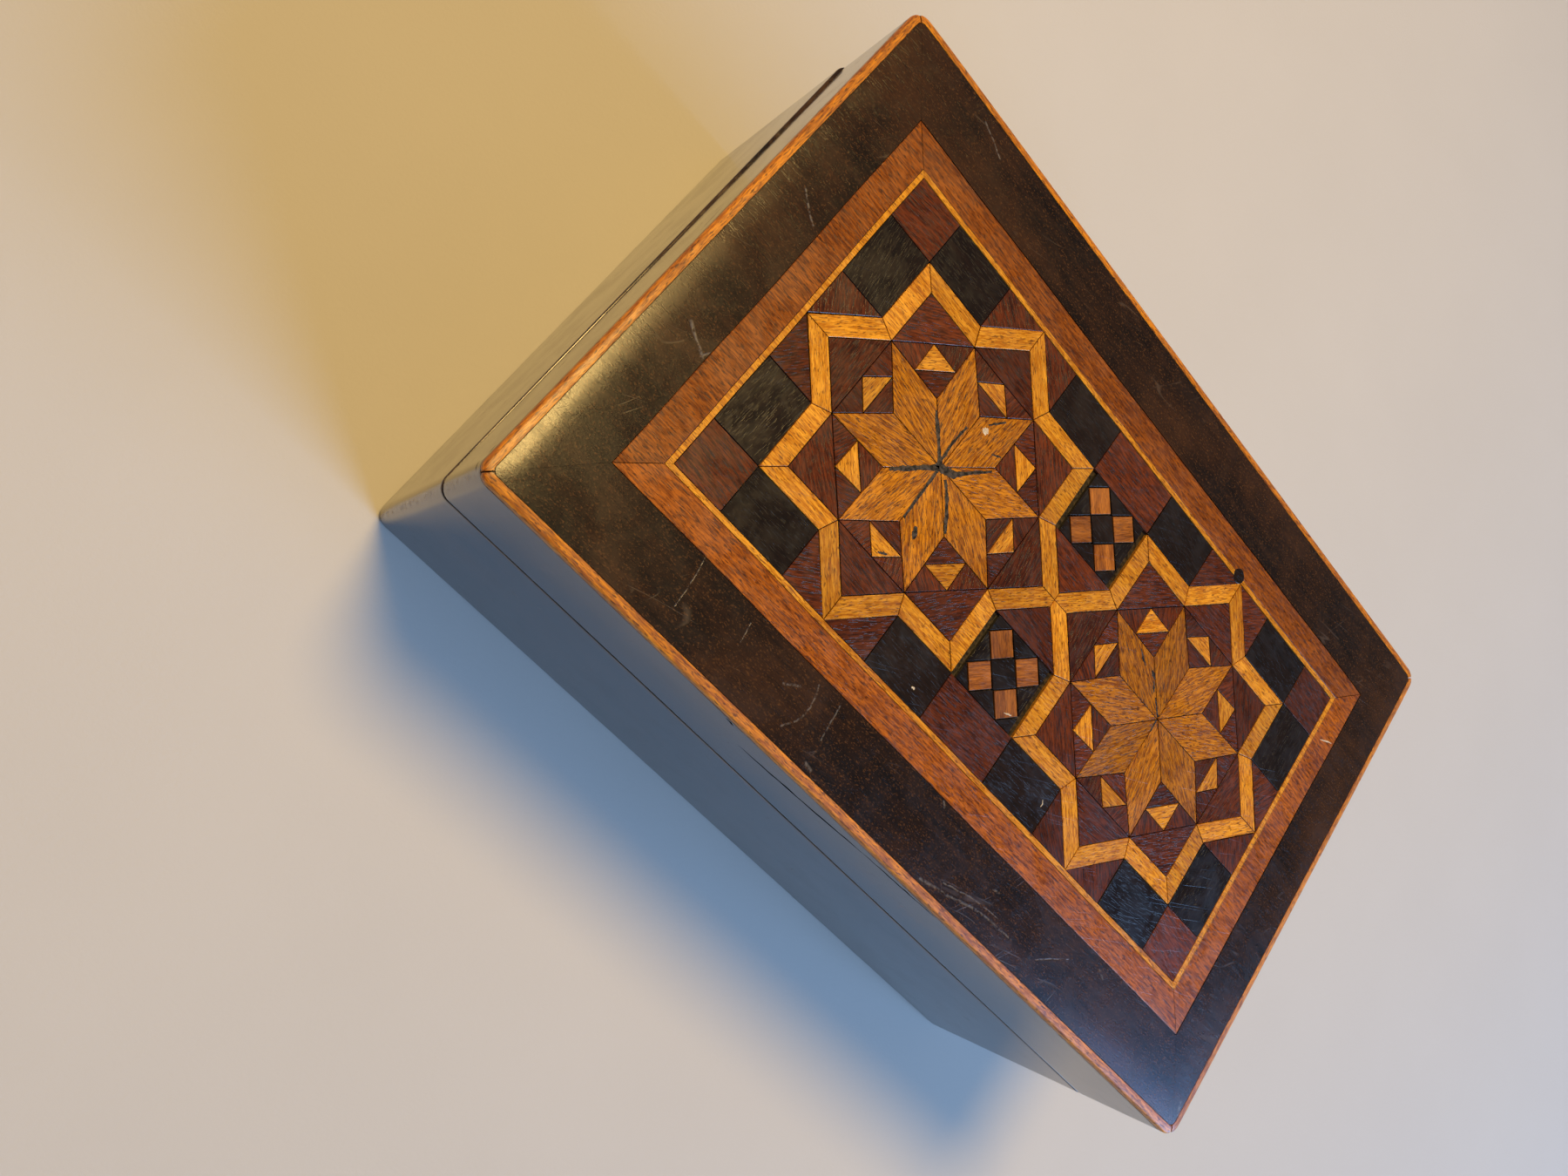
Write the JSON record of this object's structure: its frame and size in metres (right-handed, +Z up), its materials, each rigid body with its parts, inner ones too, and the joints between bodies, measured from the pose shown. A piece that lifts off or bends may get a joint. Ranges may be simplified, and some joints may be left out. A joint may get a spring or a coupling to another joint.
{
  "type": "wooden puzzle box",
  "caption": "Oblong wooden puzzle box with ebonised sides, a marquetry lid of eight-pointed stars that slides open on runners, and a hidden bolt lock.",
  "frame": {"origin": "centre of the underside, on the surface the box stands on", "axes": "+X along the box's length, the way the lid slides open; +Y towards its back; +Z up"},
  "size_m": [0.155, 0.1, 0.065],
  "materials": {
    "ebonised": "black-brown, french polished",
    "ebony": "black, polished",
    "boxwood": "honey yellow, polished",
    "satinwood": "orange brown, polished",
    "mahogany": "red brown, polished",
    "carcase": "plain, planed",
    "brass": "drawn wire"
  },
  "bodies": {
    "base": {"base_board_front": "carcase", "base_board_right": "carcase", "base_board_back": "carcase", "base_board_left": "carcase", "base_veneer_front": "ebonised", "base_veneer_right": "ebonised", "base_veneer_back": "ebonised", "base_veneer_left": "ebonised", "bottom_board": "carcase", "partition": "carcase", "lock_cover": "carcase", "bolt_guide": "carcase"},
    "secret_slide": {"secret_slide": "carcase", "cam_plate": "mahogany"},
    "lock_bolt": {"lock_bolt": "mahogany", "bolt_pin": "brass"},
    "lid": {"runner_front": "mahogany", "runner_back": "mahogany", "lid_rail_front": "carcase", "lid_rail_right": "carcase", "lid_rail_back": "carcase", "lid_rail_left": "carcase", "lid_panel": "carcase", "lid_veneer_front": "ebonised", "lid_veneer_right": "ebonised", "lid_veneer_back": "ebonised", "lid_veneer_left": "ebonised", "stringing_front": "boxwood", "stringing_right": "boxwood", "stringing_back": "boxwood", "stringing_left": "boxwood", "border_front": "ebonised", "border_right": "ebonised", "border_back": "ebonised", "border_left": "ebonised", "banding_front": "satinwood", "banding_right": "satinwood", "banding_back": "satinwood", "banding_left": "satinwood", "light_line_front": "boxwood", "light_line_left": "boxwood", "light_line_right": "boxwood", "light_line_back_left": "boxwood", "light_line_back_right": "boxwood", "strapwork_left": "boxwood", "star_left": "boxwood", "star_ground_left": "mahogany", "strapwork_right": "boxwood", "star_right": "boxwood", "star_ground_right": "mahogany", "field_front_left": "ebony", "field_front_middle": "ebony", "field_front_right": "ebony", "chequer_front": "ebony", "field_back_left": "ebony", "field_back_middle": "ebony", "field_back_right": "ebony", "chequer_back": "ebony", "ebony_plug": "ebony"}
  },
  "joints": [
    {"name": "lid_slide", "type": "slide", "parent": "base", "child": "lid", "axis": [1, 0, 0], "range_m": [0, 0.08]},
    {"name": "secret_slide_travel", "type": "slide", "parent": "base", "child": "secret_slide", "axis": [0, 1, 0], "range_m": [0, 0.012]},
    {"name": "bolt_lift", "type": "slide", "parent": "base", "child": "lock_bolt", "axis": [0, 0, 1], "range_m": [0, 0.007]}
  ],
  "couplings": [
    {"joint": "bolt_lift", "follows": "secret_slide_travel", "ratio": 0.58333}
  ]
}
